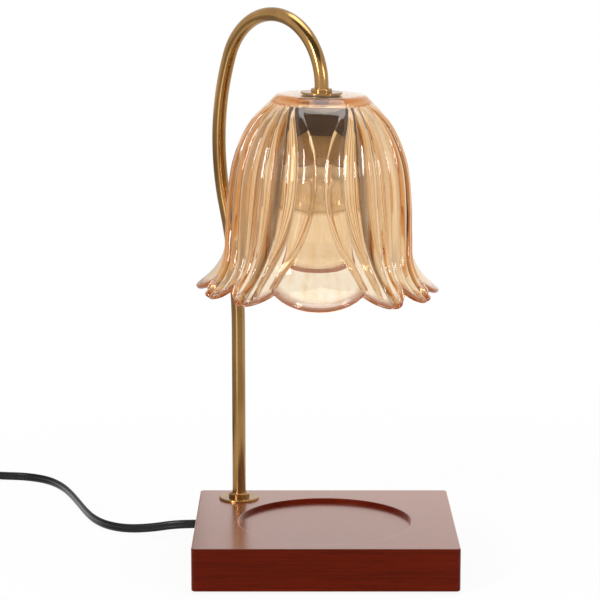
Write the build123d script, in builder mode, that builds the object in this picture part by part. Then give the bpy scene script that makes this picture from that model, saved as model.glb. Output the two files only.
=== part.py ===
"""Candle warmer: a wooden base with a candle seat, a brass swan-neck stem and a pressed glass flower shade.

The origin is on the table, under the middle of the candle seat. X runs to the right, Y away from the
viewer and Z up. All lengths are millimetres.
"""
import math
import os

from build123d import *

os.makedirs("parts", exist_ok=True)

# Fits and cuts
slip_fit = 0.1
running_fit = 0.08
free_gap = 0.4
overrun = 2.0

# Wooden base and its feet
base_height = 24.5
base_corner = 2.5
base_edge = 0.8
seat_diameter = 100.0
seat_depth = 2.5
seat_edge = 0.7
seat_front_margin = 10.0
foot_diameter = 14.0
foot_height = 1.5
foot_inset = 13.0

# Wiring pocket under the base, with its cover
pocket_length = 60.0
pocket_depth = 33.0
pocket_height = 16.0
pocket_side_wall = 9.0
pocket_rear_wall = 7.0
pocket_corner = 2.0
cover_thickness = 1.5
cover_lip = 5.0
cover_corner = 3.0
cover_screw_inset = 3.0
cover_screw_shank = 2.5
cover_screw_head = 4.4
cover_screw_cone = 1.0
cover_screw_length = 9.0

# Stem: a bent tube with its foot and its nut
tube_diameter = 8.0
tube_bore = 6.4
stem_x = 51.0
stem_y = 51.0
stem_side_inset = 24.0
stem_rear_inset = 19.0
arch_top = 316.4
arch_sweep = 158.8
head_setback = 3.2
head_tilt = 1.5
flange_diameter = 24.0
flange_thickness = 1.3
foot_collar_diameter = 12.4
foot_collar_height = 1.8
foot_collar_flare = 1.2
foot_collar_wall = 0.5
lock_washer_diameter = 16.0
lock_washer_thickness = 1.0
stem_nut_across = 13.0
stem_nut_height = 4.5
tube_overhang = 1.0

# Wiring inside the base and the stem
cable_diameter = 4.6
cable_bend = 5.4
cable_run = 14.0
connector_diameter = 6.5
connector_length = 10.0

# Supply cord, its entry into the base and the pieces that hold it
cord_diameter = 5.3
cord_entry_offset = 5.0
cord_entry_height = 8.5
grommet_diameter = 8.6
grommet_flange = 9.6
grommet_flange_thickness = 1.2
cord_stop_diameter = 9.6
cord_stop_length = 6.0
cord_inner_length = 46.0

# Head of the stem: what clamps the shade and the lamp holder
head_collar_diameter = 12.0
head_collar_height = 2.0
head_collar_round = 0.8
shade_washer_diameter = 23.5
shade_washer_thickness = 1.0
gasket_diameter = 21.0
gasket_thickness = 0.6
cup_diameter = 37.0
cup_height = 16.4
cup_wall = 0.8
cup_round = 4.0
bracket_thickness = 1.0
bracket_width = 9.0
bracket_inner_span = 17.0
bracket_foot = 4.6
cup_nut_across = 13.0
cup_nut_height = 3.5
holder_drop = 8.0

# Lamp holder and its twist-lock bulb
holder_diameter = 29.0
holder_height = 19.7
holder_round = 1.5
holder_lip = 2.8
holder_chamber = 4.8
holder_screw_shank = 2.6
holder_screw_head = 4.4
holder_screw_head_height = 1.8
holder_screw_depth = 6.0
contact_length = 4.0
contact_width = 3.0
contact_thickness = 0.5
pin_spacing = 10.0
pin_shank = 2.6
pin_head = 5.0
pin_head_height = 1.8
pin_clearance = 0.3
bulb_twist = 25.0
bulb_seat_gap = 0.4
bulb_base_diameter = 22.0
bulb_base_height = 8.0
bulb_base_round = 1.5
bulb_length = 26.0
bulb_diameter = 35.0
bulb_neck_diameter = 18.0
bulb_wall = 1.0
bulb_lens_thickness = 1.5
bulb_lens_setback = 0.8
capsule_diameter = 8.0
capsule_length = 13.0

# Glass shade
shade_height = 112.0
shade_radius = 72.0
shade_hole = 10.4
shade_top_thickness = 5.0
shade_wall = 4.4
rib_depth = 1.5
groove_depth = 1.6
petal_count = 4
ribs_per_half_petal = 5
lobe_rise = 6.8
notch_rise = 8.0
stem_notch_rise = 11.0

# The radii of the stem's bends as shares of its foot's distance from the seat's middle: the arch, the
# bend behind the shade and the lowest bend
arch_share = 0.541
back_bend_share = 1.941
lower_bend_share = 3.523

# The shade's outside, from its flat top to its rim: the drop as a share of its height, the radius as a
# share of its rim's, half a petal's angle as a share of half the angle between petals, and its ribs'
# depth as a share of the deepest
shade_level_shares = (
    (0.000, 0.350, 0.52, 0.05),
    (0.040, 0.412, 0.58, 0.15),
    (0.080, 0.474, 0.69, 0.45),
    (0.160, 0.563, 0.84, 0.80),
    (0.250, 0.626, 0.92, 1.00),
    (0.360, 0.677, 0.955, 1.00),
    (0.520, 0.708, 0.93, 1.00),
    (0.690, 0.726, 0.81, 1.00),
    (0.810, 0.752, 0.65, 0.95),
    (0.895, 0.822, 0.53, 0.85),
    (0.960, 0.920, 0.48, 0.75),
    (1.000, 1.000, 0.47, 0.70),
)
# Along the rim, as shares of half the angle between petals, from a petal's middle
petal_tip_share = 0.25
valley_share = 0.47
# The ribs' crests swell over each half of a petal: the share of the rib depth at each rib, from the middle
rib_swell_shares = (0.55, 0.95, 1.15, 1.05, 0.75)

# In-line dimmer on the cord
dimmer_length = 58.0
dimmer_width = 24.0
dimmer_height = 15.0
dimmer_split = 6.0
dimmer_corner = 6.0
dimmer_edge = 1.5
dimmer_wall = 1.6
dimmer_grip = 4.0
dimmer_boss = 5.0
dimmer_boss_x = 21.5
dimmer_boss_y = 7.6
dimmer_screw_shank = 2.2
dimmer_screw_head = 3.8
dimmer_screw_head_height = 1.4
dimmer_screw_length = 7.5
board_length = 37.0
board_width = 18.0
board_thickness = 1.2
board_height = 3.6
board_post = 3.0
board_post_inset = 3.0
pot_side = 12.0
pot_height = 4.5
pot_bore_depth = 3.0
knob_diameter = 18.0
knob_height = 5.0
knob_edge = 1.0
knob_flute = 1.4
knob_flutes = 20
knob_stem = 6.0
knob_mark_width = 1.2
knob_mark_length = 6.0
knob_mark_depth = 0.5

# Coil of put-away cord, its tie and the plug
coil_radius = 42.0
coil_pitch = 6.8
layer_pitch = 5.8
turns_per_layer = 2.75
coil_entry = 33.0
coil_exit = 10.0
tie_width = 8.0
tie_thickness = 0.7
tie_corner = 2.5
plug_length = 30.0
plug_width = 23.0
plug_height = 14.0
plug_rear_width = 11.0
plug_rear_height = 9.0
plug_corner = 3.0
blade_spacing = 12.7
blade_width = 6.35
blade_thickness = 1.5
blade_length = 16.0
blade_set_in = 3.0
blade_corner = 1.2

# The cord's route over the table, from the base to the dimmer, from there to the coil and on to the plug:
# each point's place from where the cord leaves the base, and its height
cord_floor = cord_diameter / 2
lead_steps = (
    (0.0, 0.0, cord_entry_height),
    (-13.5, 0.0, cord_entry_height),
    (-29.5, 4.5, 4.8),
    (-45.0, 10.0, cord_floor),
    (-58.0, 18.0, cord_floor),
    (-67.0, 32.0, cord_floor),
    (-73.5, 49.0, cord_floor),
    (-80.0, 70.0, cord_floor),
    (-87.0, 92.0, cord_floor),
    (-95.0, 112.5, cord_floor),
    (-106.0, 129.5, cord_floor),
    (-122.0, 139.0, cord_floor),
    (-139.5, 138.5, 3.2),
    (-155.0, 134.0, 6.0),
    (-170.6, 134.0, 6.0),
)
link_steps = (
    (-217.4, 134.0, 6.0),
    (-231.0, 134.0, 6.0),
    (-245.0, 128.4, 4.6),
    (-255.4, 118.0, 3.6),
    (-261.0, 104.0, 3.55),
    (-261.0, 87.0, 3.55),
)
tail_steps = (
    (-261.0, 44.0, 9.35),
    (-261.0, 31.0, 9.35),
    (-262.0, 17.0, 6.2),
    (-262.0, 3.5, 5.2),
    (-261.0, -9.5, 7.0),
    (-261.0, -23.0, 7.0),
)
run_share = 0.45

# Heights up the base
base_bottom = foot_height
base_top = base_bottom + base_height
seat_floor = base_top - seat_depth
pocket_ceiling = base_bottom + pocket_height
cover_top = base_bottom + cover_thickness
base_length = 2 * (stem_x + stem_side_inset)
base_left = -base_length / 2
base_front = seat_diameter / 2 + seat_front_margin
base_rear = stem_y + stem_rear_inset
base_depth = base_front + base_rear
base_middle_y = base_depth / 2 - base_front
pocket_left = base_left + pocket_side_wall
pocket_middle_x = pocket_left + pocket_length / 2
pocket_middle_y = base_rear - pocket_rear_wall - pocket_depth / 2
cover_length = pocket_length + 2 * cover_lip
cover_depth = pocket_depth + 2 * cover_lip
cord_entry_y = stem_y + cord_entry_offset
cord_entry = (base_left, cord_entry_y, cord_entry_height)


def from_entry(steps):
    """Give the points of a route from where the cord leaves the base."""
    return [(base_left + x, cord_entry_y + y, height) for x, y, height in steps]


lead_route = from_entry(lead_steps)
link_route = from_entry(link_steps)
tail_route = from_entry(tail_steps)

# The stem's foot stands this far from the seat's middle, and its head hangs a little short of it
foot_distance = math.hypot(stem_x, stem_y)
reach = foot_distance - head_setback
stem_heading = math.degrees(math.atan2(stem_y, -stem_x))
arch_radius = foot_distance * arch_share
back_radius = foot_distance * back_bend_share
lower_radius = foot_distance * lower_bend_share

# Heights down the head of the stem
collar_top = arch_top - arch_radius
washer_top = collar_top - head_collar_height
gasket_top = washer_top - shade_washer_thickness
shade_top = gasket_top - gasket_thickness
shade_ceiling = shade_top - shade_top_thickness
shade_rim = shade_top - shade_height
cup_top = shade_ceiling - gasket_thickness
cup_ceiling = cup_top - cup_wall
cup_bottom = cup_top - cup_height
cup_nut_top = cup_ceiling - bracket_thickness
cup_nut_bottom = cup_nut_top - cup_nut_height
tube_head_end = cup_nut_bottom - tube_overhang
holder_top = tube_head_end - holder_drop
holder_bottom = holder_top - holder_height
bulb_top = holder_bottom - bulb_seat_gap
bulb_base_bottom = bulb_top - bulb_base_height
bulb_face = bulb_top - bulb_length
stem_nut_top = pocket_ceiling - lock_washer_thickness
tube_foot_end = stem_nut_top - stem_nut_height - tube_overhang

# The stem's bends lie in the upright plane through its foot and the candle seat's middle
stem_foot = (-stem_x, stem_y)
stem_plane = Plane(
    origin=(-stem_x, stem_y, 0), x_dir=(stem_x, -stem_y, 0), z_dir=(-stem_y, -stem_x, 0)
)
arch_angle = math.radians(arch_sweep)
arch_centre = (reach - arch_radius, collar_top)
back_centre = (
    arch_centre[0] + (arch_radius - back_radius) * math.cos(arch_angle),
    arch_centre[1] + (arch_radius - back_radius) * math.sin(arch_angle),
)
lean = math.acos((back_centre[0] + lower_radius) / (back_radius + lower_radius))
lower_centre = (
    back_centre[0] - (back_radius + lower_radius) * math.cos(lean),
    back_centre[1] - (back_radius + lower_radius) * math.sin(lean),
)

tilt = math.radians(head_tilt)
head_end = (
    arch_centre[0] + arch_radius * math.cos(tilt),
    arch_centre[1] - arch_radius * math.sin(tilt),
)
head_point = stem_plane.from_local_coords(Vector(*head_end))
tilt_axis = Axis((0, 0, collar_top), (stem_y, stem_x, 0))


def along_head(height):
    """Give the point of the head's tilted axis, in the stem's plane, at an upright head's height."""
    drop = collar_top - height
    return (head_end[0] - drop * math.sin(tilt), head_end[1] - drop * math.cos(tilt))


def export_on_head(piece, name):
    """Write a piece that is drawn upright, set on the stem's tilted head."""
    placed = piece.part.rotate(tilt_axis, head_tilt).translate(head_point - Vector(0, 0, collar_top))
    placed.label = name
    export_step(placed, f"parts/{name}.step")


def stem_bends():
    """Draw the stem's three bends, from its straight foot to the head."""
    lean_degrees = math.degrees(lean)
    CenterArc(lower_centre, lower_radius, 0, lean_degrees)
    CenterArc(back_centre, back_radius, 180 + lean_degrees, arch_sweep - 180 - lean_degrees)
    CenterArc(arch_centre, arch_radius, arch_sweep, -arch_sweep - head_tilt)


def at_stem(height):
    """Give the level plane round the stem's foot at a height."""
    return Plane(origin=(*stem_foot, height))


def ring(plane, outer_diameter, bore_diameter, height):
    """Make a flat ring that stands on a plane."""
    with BuildPart() as body:
        with BuildSketch(plane):
            Circle(outer_diameter / 2)
            Circle(bore_diameter / 2, mode=Mode.SUBTRACT)
        extrude(amount=height)
    return body


def hex_nut(plane, across_flats, bore_diameter, height):
    """Make a six-sided nut that stands on a plane."""
    with BuildPart() as body:
        with BuildSketch(plane):
            RegularPolygon(across_flats / 2, 6, major_radius=False)
            Circle(bore_diameter / 2, mode=Mode.SUBTRACT)
        extrude(amount=height)
    return body


# Wooden base: one block with the candle seat above and the wiring pocket below
tube_hole = tube_diameter + 2 * slip_fit
cover_screw_grid = (cover_length - 2 * cover_screw_inset, cover_depth - 2 * cover_screw_inset)
with BuildPart() as wood_base:
    with BuildSketch(Plane.XY.offset(base_bottom)):
        with Locations((0, base_middle_y)):
            RectangleRounded(base_length, base_depth, base_corner)
    extrude(amount=base_height)
    fillet(wood_base.faces().sort_by(Axis.Z)[-1].edges(), base_edge)
    fillet(wood_base.faces().sort_by(Axis.Z)[0].edges(), base_edge)
    with BuildSketch(Plane.XY.offset(seat_floor)):
        Circle(seat_diameter / 2)
    extrude(amount=seat_depth, mode=Mode.SUBTRACT)
    seat_rim = wood_base.edges().filter_by(GeomType.CIRCLE).group_by(Axis.Z)[-1]
    fillet(seat_rim.filter_by(lambda edge: edge.radius > seat_diameter / 4), seat_edge)
    with BuildSketch(Plane.XY.offset(base_bottom)):
        with Locations((pocket_middle_x, pocket_middle_y)):
            RectangleRounded(pocket_length, pocket_depth, pocket_corner)
    extrude(amount=pocket_height, mode=Mode.SUBTRACT)
    with BuildSketch(Plane.XY.offset(base_bottom)):
        with Locations((pocket_middle_x, pocket_middle_y)):
            RectangleRounded(
                cover_length + 2 * slip_fit, cover_depth + 2 * slip_fit, cover_corner + slip_fit
            )
    extrude(amount=cover_thickness, mode=Mode.SUBTRACT)
    with BuildSketch(at_stem(pocket_ceiling)):
        Circle(tube_hole / 2)
    extrude(amount=base_height, mode=Mode.SUBTRACT)
    with BuildSketch(Plane(origin=cord_entry, x_dir=(0, 1, 0), z_dir=(1, 0, 0))):
        Circle(grommet_diameter / 2)
    extrude(amount=pocket_side_wall, mode=Mode.SUBTRACT)
    with BuildSketch(Plane.XY.offset(cover_top)):
        with Locations((pocket_middle_x, pocket_middle_y)):
            with GridLocations(*cover_screw_grid, 2, 2):
                Circle(cover_screw_shank / 2 + slip_fit)
    extrude(amount=cover_screw_length, mode=Mode.SUBTRACT)
wood_base.part.label = "wood_base"
export_step(wood_base.part, "parts/wood_base.step")

# Rubber feet: four discs near the corners and one under the candle
with BuildPart() as rubber_feet:
    with BuildSketch():
        Circle(foot_diameter / 2)
        with Locations((0, base_middle_y)):
            with GridLocations(base_length - 2 * foot_inset, base_depth - 2 * foot_inset, 2, 2):
                Circle(foot_diameter / 2)
    extrude(amount=foot_height)
rubber_feet.part.label = "rubber_feet"
export_step(rubber_feet.part, "parts/rubber_feet.step")

# Bottom cover: a plate let into the base, level with its underside
with BuildPart() as bottom_cover:
    with BuildSketch(Plane.XY.offset(base_bottom)):
        with Locations((pocket_middle_x, pocket_middle_y)):
            RectangleRounded(cover_length, cover_depth, cover_corner)
    extrude(amount=cover_thickness)
    with Locations(Plane(origin=(pocket_middle_x, pocket_middle_y, base_bottom), z_dir=(0, 0, -1))):
        with GridLocations(*cover_screw_grid, 2, 2):
            CounterSinkHole(
                cover_screw_shank / 2 + slip_fit, cover_screw_head / 2 + slip_fit, counter_sink_angle=90
            )
bottom_cover.part.label = "bottom_cover"
export_step(bottom_cover.part, "parts/bottom_cover.step")

# Cover screws: four countersunk wood screws
with BuildPart() as cover_screws:
    with BuildSketch(Plane.XY.offset(base_bottom)):
        with Locations((pocket_middle_x, pocket_middle_y)):
            with GridLocations(*cover_screw_grid, 2, 2):
                Circle(cover_screw_head / 2)
    extrude(amount=cover_screw_cone, taper=45)
    with BuildSketch(Plane.XY.offset(base_bottom)):
        with Locations((pocket_middle_x, pocket_middle_y)):
            with GridLocations(*cover_screw_grid, 2, 2):
                Circle(cover_screw_shank / 2)
    extrude(amount=cover_screw_length)
cover_screws.part.label = "cover_screws"
export_step(cover_screws.part, "parts/cover_screws.step")

# Base flange: the thin disc on the wood round the stem's foot
with BuildPart() as base_flange:
    with BuildSketch(at_stem(base_top)):
        Circle(flange_diameter / 2)
        Circle(tube_hole / 2, mode=Mode.SUBTRACT)
    extrude(amount=flange_thickness)
    fillet(base_flange.faces().sort_by(Axis.Z)[-1].outer_wire().edges(), flange_thickness / 2)
base_flange.part.label = "base_flange"
export_step(base_flange.part, "parts/base_flange.step")

# Foot collar: a turned collar whose top curves in to the tube
flange_top = base_top + flange_thickness
with BuildPart() as foot_collar:
    with BuildSketch(Plane(origin=(*stem_foot, flange_top), x_dir=(1, 0, 0), z_dir=(0, -1, 0))):
        with BuildLine():
            collar_neck = tube_hole / 2 + foot_collar_wall
            outline = Polyline(
                (collar_neck, foot_collar_height + foot_collar_flare),
                (tube_hole / 2, foot_collar_height + foot_collar_flare),
                (tube_hole / 2, 0),
                (foot_collar_diameter / 2, 0),
                (foot_collar_diameter / 2, foot_collar_height),
            )
            EllipticalCenterArc(
                (foot_collar_diameter / 2, foot_collar_height + foot_collar_flare),
                foot_collar_diameter / 2 - collar_neck,
                foot_collar_flare,
                start_angle=180,
                arc_size=90,
            )
        make_face()
    revolve(axis=Axis((*stem_foot, 0), (0, 0, 1)))
foot_collar.part.label = "foot_collar"
export_step(foot_collar.part, "parts/foot_collar.step")

# Stem tube: straight at the foot, leaning back and then arched over to the shade
with BuildPart() as stem_tube:
    with BuildLine(stem_plane) as stem_path:
        Line((0, tube_foot_end), (0, lower_centre[1]))
        stem_bends()
        Line(head_end, along_head(tube_head_end))
    with BuildSketch(at_stem(tube_foot_end)):
        Circle(tube_diameter / 2)
        Circle(tube_bore / 2, mode=Mode.SUBTRACT)
    sweep(path=stem_path.wire())
stem_tube.part.label = "stem_tube"
export_step(stem_tube.part, "parts/stem_tube.step")

# Lock washer and nut that hold the stem from inside the pocket
stem_lock_washer = ring(at_stem(stem_nut_top), lock_washer_diameter, tube_hole, lock_washer_thickness)
stem_lock_washer.part.label = "stem_lock_washer"
export_step(stem_lock_washer.part, "parts/stem_lock_washer.step")
stem_nut = hex_nut(at_stem(stem_nut_top - stem_nut_height), stem_nut_across, tube_hole, stem_nut_height)
stem_nut.part.label = "stem_nut"
export_step(stem_nut.part, "parts/stem_nut.step")

# Inner cable: from its connector in the pocket, through the stem, to the lamp holder
cable_level = tube_foot_end - cable_bend
with BuildPart() as inner_cable:
    with BuildLine(stem_plane) as cable_path:
        Line((cable_run, cable_level), (cable_bend, cable_level))
        CenterArc((cable_bend, tube_foot_end), cable_bend, 270, -90)
        Line((0, tube_foot_end), (0, lower_centre[1]))
        stem_bends()
        Line(head_end, along_head(holder_top))
    with BuildSketch(Plane(origin=cable_path.line @ 0, z_dir=cable_path.line % 0)):
        Circle(cable_diameter / 2)
    sweep(path=cable_path.wire())
inner_cable.part.label = "inner_cable"
export_step(inner_cable.part, "parts/inner_cable.step")

# Supply cord inside the base, from the wall to its connector
with BuildPart() as cord_inner:
    with BuildSketch(Plane(origin=cord_entry, x_dir=(0, 1, 0), z_dir=(1, 0, 0))):
        Circle(cord_diameter / 2)
    extrude(amount=cord_inner_length)
cord_inner.part.label = "cord_inner"
export_step(cord_inner.part, "parts/cord_inner.step")

# Wire connectors: closed crimp caps on the ends of the cord and of the cable
cable_end = stem_plane.from_local_coords(Vector(cable_run, cable_level, 0))
cord_inner_end = (base_left + cord_inner_length, cord_entry_y, cord_entry_height)
with BuildPart() as wire_connectors:
    with BuildSketch(Plane(origin=cord_inner_end, x_dir=(0, 1, 0), z_dir=(1, 0, 0))):
        Circle(connector_diameter / 2)
    extrude(amount=connector_length)
    with BuildSketch(Plane(origin=cable_end, x_dir=(0, 0, 1), z_dir=(stem_x, -stem_y, 0))):
        Circle(cable_diameter / 2)
    extrude(amount=connector_length)
wire_connectors.part.label = "wire_connectors"
export_step(wire_connectors.part, "parts/wire_connectors.step")

# Cord grommet: a rubber bush in the base's left wall with a flange inside
grommet_bore = cord_diameter + 2 * slip_fit
with BuildPart() as cord_grommet:
    with BuildSketch(Plane(origin=cord_entry, x_dir=(0, 1, 0), z_dir=(1, 0, 0))):
        Circle(grommet_diameter / 2 - slip_fit)
        Circle(grommet_bore / 2, mode=Mode.SUBTRACT)
    extrude(amount=pocket_side_wall)
    with BuildSketch(
        Plane(origin=(pocket_left, cord_entry_y, cord_entry_height), x_dir=(0, 1, 0), z_dir=(1, 0, 0))
    ):
        Circle(grommet_flange / 2)
        Circle(grommet_bore / 2, mode=Mode.SUBTRACT)
    extrude(amount=grommet_flange_thickness)
cord_grommet.part.label = "cord_grommet"
export_step(cord_grommet.part, "parts/cord_grommet.step")

# Cord stop: a ferrule crimped on the cord behind the grommet, which takes the pull
stop_start = pocket_left + grommet_flange_thickness
cord_stop = ring(
    Plane(origin=(stop_start, cord_entry_y, cord_entry_height), x_dir=(0, 1, 0), z_dir=(1, 0, 0)),
    cord_stop_diameter,
    grommet_bore,
    cord_stop_length,
)
cord_stop.part.label = "cord_stop"
export_step(cord_stop.part, "parts/cord_stop.step")

# Head collar, washer and gasket above the shade
with BuildPart() as head_collar:
    with BuildSketch(Plane.XY.offset(washer_top)):
        Circle(head_collar_diameter / 2)
        Circle(tube_hole / 2, mode=Mode.SUBTRACT)
    extrude(amount=head_collar_height)
    fillet(head_collar.faces().sort_by(Axis.Z)[-1].outer_wire().edges(), head_collar_round)
export_on_head(head_collar, "head_collar")
shade_washer = ring(Plane.XY.offset(gasket_top), shade_washer_diameter, tube_hole, shade_washer_thickness)
export_on_head(shade_washer, "shade_washer")
upper_gasket = ring(Plane.XY.offset(shade_top), gasket_diameter, tube_hole, gasket_thickness)
export_on_head(upper_gasket, "upper_gasket")


def on_circle(radius, degrees):
    """Give the point of the shade's section at a radius and an angle."""
    return (radius * math.cos(math.radians(degrees)), radius * math.sin(math.radians(degrees)))


petal_angle = 360 / petal_count


def shade_section(radius, petal_half_angle, depth_share):
    """Draw one level of the shade's outside: four ribbed petals with smooth glass between them."""
    depth = rib_depth * depth_share
    groove = groove_depth * depth_share
    for petal in range(petal_count):
        middle = stem_heading + petal_angle * petal
        for side in (-1, 1):
            steps = range(ribs_per_half_petal)
            for rib in steps if side > 0 else reversed(steps):
                ends = (rib, rib + 1) if side > 0 else (rib + 1, rib)
                start, end = (
                    on_circle(
                        radius - (groove if edge == 0 else 0),
                        middle + side * petal_half_angle * edge / ribs_per_half_petal,
                    )
                    for edge in ends
                )
                crest_angle = middle + side * petal_half_angle * sum(ends) / 2 / ribs_per_half_petal
                crest = on_circle(radius + depth * rib_swell_shares[rib], crest_angle)
                ThreePointArc(start, crest, end)
        ThreePointArc(
            on_circle(radius, middle + petal_half_angle),
            on_circle(radius, middle + petal_angle / 2),
            on_circle(radius, middle + petal_angle - petal_half_angle),
        )


def rim_plane(degrees):
    """Give the upright plane across the shade's rim at an angle, with X along the rim and Y up."""
    outward = Vector(*on_circle(1, degrees))
    return Plane(
        origin=outward * (shade_radius / 2) + Vector(0, 0, shade_rim),
        x_dir=(-outward.Y, outward.X, 0),
        z_dir=outward,
    )


# Glass shade: a pressed flower bell with ribbed petals, a hollow inside and a scalloped rim
with BuildPart() as glass_shade:
    for drop_share, radius_share, angle_share, depth_share in shade_level_shares:
        with BuildSketch(Plane.XY.offset(shade_top - shade_height * drop_share)):
            with BuildLine():
                shade_section(
                    shade_radius * radius_share, petal_angle / 2 * angle_share, depth_share
                )
            make_face()
    loft()
    with BuildSketch(Plane.XZ):
        with BuildLine():
            inside = [
                (shade_radius * radius_share - shade_wall, shade_top - shade_height * drop_share)
                for drop_share, radius_share, angle_share, depth_share in shade_level_shares
                if shade_height * drop_share > shade_top_thickness
            ]
            wall_curve = Spline(*inside)
            ceiling_radius = inside[0][0] - shade_wall
            Polyline(
                inside[-1],
                (inside[-1][0], shade_rim - overrun),
                (0, shade_rim - overrun),
                (0, shade_ceiling),
                (ceiling_radius, shade_ceiling),
                inside[0],
            )
        make_face()
    revolve(axis=Axis.Z, mode=Mode.SUBTRACT)
    with BuildSketch(Plane.XY.offset(shade_ceiling)):
        Circle(shade_hole / 2)
    extrude(amount=shade_top_thickness, mode=Mode.SUBTRACT)
    half_angle = petal_angle / 2
    for petal in range(petal_count):
        middle = stem_heading + petal_angle * petal
        tip_to_notch = half_angle * petal_tip_share
        tip_to_valley = half_angle * (valley_share - petal_tip_share)
        lobe_to_valley = half_angle * (1 - valley_share)
        valley = half_angle * valley_share
        for angle, rise, before, after in (
            (middle - valley, lobe_rise, lobe_to_valley, tip_to_valley),
            (middle, stem_notch_rise if petal == 0 else notch_rise, tip_to_notch, tip_to_notch),
            (middle + valley, lobe_rise, tip_to_valley, lobe_to_valley),
        ):
            with BuildSketch(rim_plane(angle)):
                with BuildLine():
                    start = -shade_radius * math.sin(math.radians(before))
                    end = shade_radius * math.sin(math.radians(after))
                    TangentArc((start, 0), (0, rise), tangent=(1, 0))
                    TangentArc((end, 0), (0, rise), tangent=(-1, 0))
                    Polyline((start, 0), (start, -overrun), (end, -overrun), (end, 0))
                make_face()
            extrude(amount=shade_radius, mode=Mode.SUBTRACT)
export_on_head(glass_shade, "glass_shade")

# Lower gasket and holder cup under the shade's top
lower_gasket = ring(Plane.XY.offset(cup_top), gasket_diameter, tube_hole, gasket_thickness)
export_on_head(lower_gasket, "lower_gasket")
with BuildPart() as holder_cup:
    with BuildSketch(Plane.XY.offset(cup_bottom)):
        Circle(cup_diameter / 2)
    extrude(amount=cup_height)
    fillet(holder_cup.faces().sort_by(Axis.Z)[-1].edges(), cup_round)
    offset(amount=-cup_wall, openings=holder_cup.faces().sort_by(Axis.Z)[0])
    with BuildSketch(Plane.XY.offset(cup_ceiling)):
        Circle(tube_hole / 2)
    extrude(amount=cup_wall, mode=Mode.SUBTRACT)
export_on_head(holder_cup, "holder_cup")

# Holder bracket: a bent strap that hangs from the nut and carries the lamp holder
bracket_rise = cup_ceiling - holder_top
bracket_outer_span = bracket_inner_span + 2 * bracket_thickness
bracket_screw_x = bracket_outer_span / 2 + bracket_foot / 2
holder_screw_hole = holder_screw_shank + 2 * slip_fit
with BuildPart() as holder_bracket:
    with BuildSketch(Plane.XZ.offset(-bracket_width / 2)):
        with Locations((0, holder_top)):
            Rectangle(bracket_outer_span, bracket_rise, align=(Align.CENTER, Align.MIN))
            Rectangle(
                bracket_outer_span + 2 * bracket_foot, bracket_thickness, align=(Align.CENTER, Align.MIN)
            )
            Rectangle(
                bracket_inner_span,
                bracket_rise - bracket_thickness,
                align=(Align.CENTER, Align.MIN),
                mode=Mode.SUBTRACT,
            )
    extrude(amount=bracket_width)
    with BuildSketch(Plane.XY.offset(cup_ceiling)):
        Circle(tube_hole / 2)
    extrude(amount=-bracket_thickness, mode=Mode.SUBTRACT)
    with BuildSketch(Plane.XY.offset(holder_top)):
        with GridLocations(2 * bracket_screw_x, 0, 2, 1):
            Circle(holder_screw_hole / 2)
    extrude(amount=bracket_thickness, mode=Mode.SUBTRACT)
export_on_head(holder_bracket, "holder_bracket")
cup_nut = hex_nut(Plane.XY.offset(cup_nut_bottom), cup_nut_across, tube_hole, cup_nut_height)
export_on_head(cup_nut, "cup_nut")

# Lamp holder: a ceramic disc with two keyhole slots that the bulb's pins twist into
pin_radius = pin_spacing / 2
chamber_floor = holder_bottom + holder_lip


def pin_slots(width):
    """Draw the two curved slots that something of a width sweeps as the bulb twists out."""
    for start in (0, 180):
        SlotArc(CenterArc((0, 0), pin_radius, start, bulb_twist, mode=Mode.PRIVATE), width + 2 * free_gap)


with BuildPart() as lamp_holder:
    with BuildSketch(Plane.XY.offset(holder_bottom)):
        Circle(holder_diameter / 2)
    extrude(amount=holder_height)
    fillet(lamp_holder.faces().sort_by(Axis.Z)[0].edges(), holder_round)
    with BuildSketch(Plane.XY.offset(holder_bottom)):
        pin_slots(pin_shank)
        with PolarLocations(pin_radius, 2, start_angle=bulb_twist):
            Circle(pin_head / 2 + free_gap)
    extrude(amount=holder_lip, mode=Mode.SUBTRACT)
    with BuildSketch(Plane.XY.offset(chamber_floor)):
        pin_slots(pin_head)
    extrude(amount=holder_chamber, mode=Mode.SUBTRACT)
    with BuildSketch(Plane.XY.offset(holder_top - holder_screw_depth)):
        with GridLocations(2 * bracket_screw_x, 0, 2, 1):
            Circle(holder_screw_hole / 2)
    extrude(amount=holder_screw_depth, mode=Mode.SUBTRACT)
export_on_head(lamp_holder, "lamp_holder")

# Holder screws: two pan-head screws through the bracket's feet into the ceramic
with BuildPart() as holder_screws:
    with BuildSketch(Plane.XY.offset(holder_top - holder_screw_depth)):
        with GridLocations(2 * bracket_screw_x, 0, 2, 1):
            Circle(holder_screw_shank / 2)
    extrude(amount=holder_screw_depth + bracket_thickness)
    with BuildSketch(Plane.XY.offset(holder_top + bracket_thickness)):
        with GridLocations(2 * bracket_screw_x, 0, 2, 1):
            Circle(holder_screw_head / 2)
    extrude(amount=holder_screw_head_height)
    fillet(holder_screws.edges().group_by(Axis.Z)[-1], holder_screw_head_height / 3)
export_on_head(holder_screws, "holder_screws")

# Holder contacts: spring plates under the roof of each pin chamber
chamber_roof = chamber_floor + holder_chamber
with BuildPart() as holder_contacts:
    with BuildSketch(Plane.XY.offset(chamber_roof)):
        with GridLocations(pin_spacing, 0, 2, 1):
            Rectangle(contact_width, contact_length)
    extrude(amount=-contact_thickness)
export_on_head(holder_contacts, "holder_contacts")

# Bulb base: the ceramic cap that carries the two pins and the reflector
with BuildPart() as bulb_base:
    with BuildSketch(Plane.XY.offset(bulb_base_bottom)):
        Circle(bulb_base_diameter / 2)
    extrude(amount=bulb_base_height)
    fillet(bulb_base.edges(), bulb_base_round)
export_on_head(bulb_base, "bulb_base")

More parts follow.
